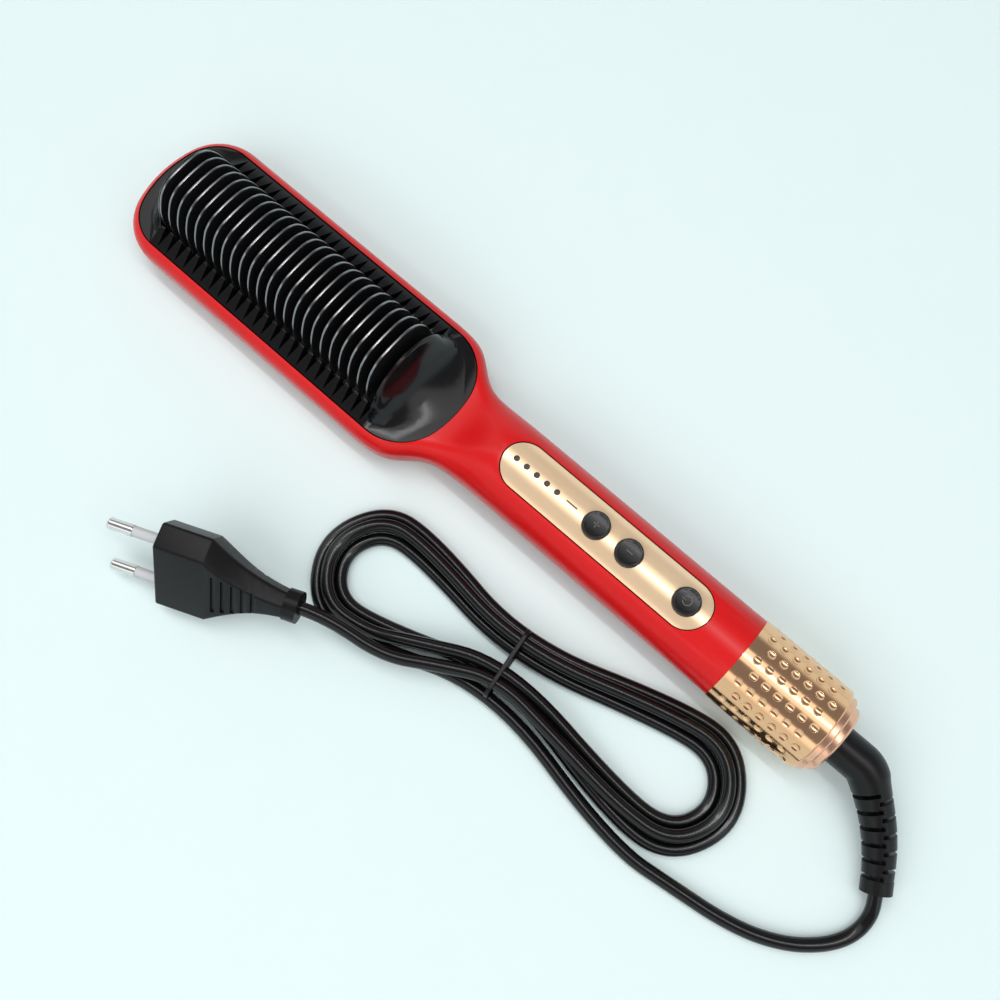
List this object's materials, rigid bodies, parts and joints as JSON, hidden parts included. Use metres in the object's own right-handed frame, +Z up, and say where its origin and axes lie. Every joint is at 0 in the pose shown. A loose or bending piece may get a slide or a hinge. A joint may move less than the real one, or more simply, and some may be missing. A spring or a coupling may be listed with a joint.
{
  "type": "heated styling brush",
  "caption": "Heated styling brush with arched comb fins in a scooped black frame, a curved three-button panel, a dimpled end cap and a swivelling mains cord tied in a hank.",
  "frame": {"origin": "on the table under the middle of the brush without its cord", "axes": "+X from the comb's tip to the cord end, +Y to the side away from the hank, +Z up from the table"},
  "size_m": [0.3408, 0.1373, 0.0405],
  "materials": {
    "body_lacquer": "satin",
    "black_gloss": "polished",
    "black_anodised": "satin",
    "cast_aluminium": "satin",
    "rose_gold_mirror": "polished",
    "rose_gold_satin": "satin",
    "key_grey": "matte",
    "dark_plastic": "matte",
    "clear_guide": "polished",
    "lamp_white": "satin",
    "board_green": "matte",
    "capacitor_film": "satin",
    "amber_film": "satin",
    "ceramic": "matte",
    "glass_bead": "polished",
    "mica_felt": "matte",
    "spring_steel": "satin",
    "steel": "satin",
    "brass": "polished",
    "lead_rubber": "matte",
    "black_rubber": "satin",
    "black_cord": "polished",
    "nickel": "polished",
    "sleeve_grey": "matte"
  },
  "bodies": {
    "brush": {"front_shell": "body_lacquer", "back_shell": "body_lacquer", "closing_screws": "steel", "comb_frame": "black_gloss", "heating_base": "cast_aluminium", "heating_fins": "black_anodised", "insulating_film": "amber_film", "ptc_heaters": "ceramic", "thermistor": "glass_bead", "heater_clamp": "spring_steel", "clamp_screws": "steel", "deck_screws": "steel", "thermal_fuse": "steel", "insulation_pad": "mica_felt", "control_panel": "rose_gold_mirror", "tact_switches": "spring_steel", "light_guide": "clear_guide", "lamps": "lamp_white", "control_board": "board_green", "board_screws": "steel", "controller_chip": "dark_plastic", "capacitor": "capacitor_film", "triac": "dark_plastic", "heater_leads": "lead_rubber", "mains_leads": "lead_rubber", "swivel_socket": "dark_plastic", "contact_blades": "brass", "end_cap": "rose_gold_mirror", "cap_ring": "rose_gold_satin"},
    "cord_swivel": {"swivel_spindle": "dark_plastic", "slip_rings": "brass", "cord_guard": "black_rubber", "supply_cord": "black_cord", "cord_hank": "black_cord", "cord_tie": "black_rubber", "cord_to_plug": "black_cord", "plug_body": "black_rubber", "plug_pins": "nickel", "pin_sleeves": "sleeve_grey"},
    "key_plus": {"button_plus": "key_grey", "plunger_plus": "dark_plastic"},
    "key_minus": {"button_minus": "key_grey", "plunger_minus": "dark_plastic"},
    "key_power": {"button_power": "key_grey", "plunger_power": "dark_plastic"}
  },
  "joints": [
    {"name": "press_plus", "type": "slide", "parent": "brush", "child": "key_plus", "axis": [0, 0, -1], "range_m": [0, 0.0006], "stiffness_N_per_m": 400, "springref_m": -0.0006},
    {"name": "press_minus", "type": "slide", "parent": "brush", "child": "key_minus", "axis": [0, 0, -1], "range_m": [0, 0.0006], "stiffness_N_per_m": 400, "springref_m": -0.0006},
    {"name": "press_power", "type": "slide", "parent": "brush", "child": "key_power", "axis": [0, 0, -1], "range_m": [0, 0.0006], "stiffness_N_per_m": 400, "springref_m": -0.0006},
    {"name": "cord_turn", "type": "hinge", "parent": "brush", "child": "cord_swivel", "pos_m": [0.1465, 0, 0.0152], "axis": [1, 0, 0], "continuous": true}
  ]
}
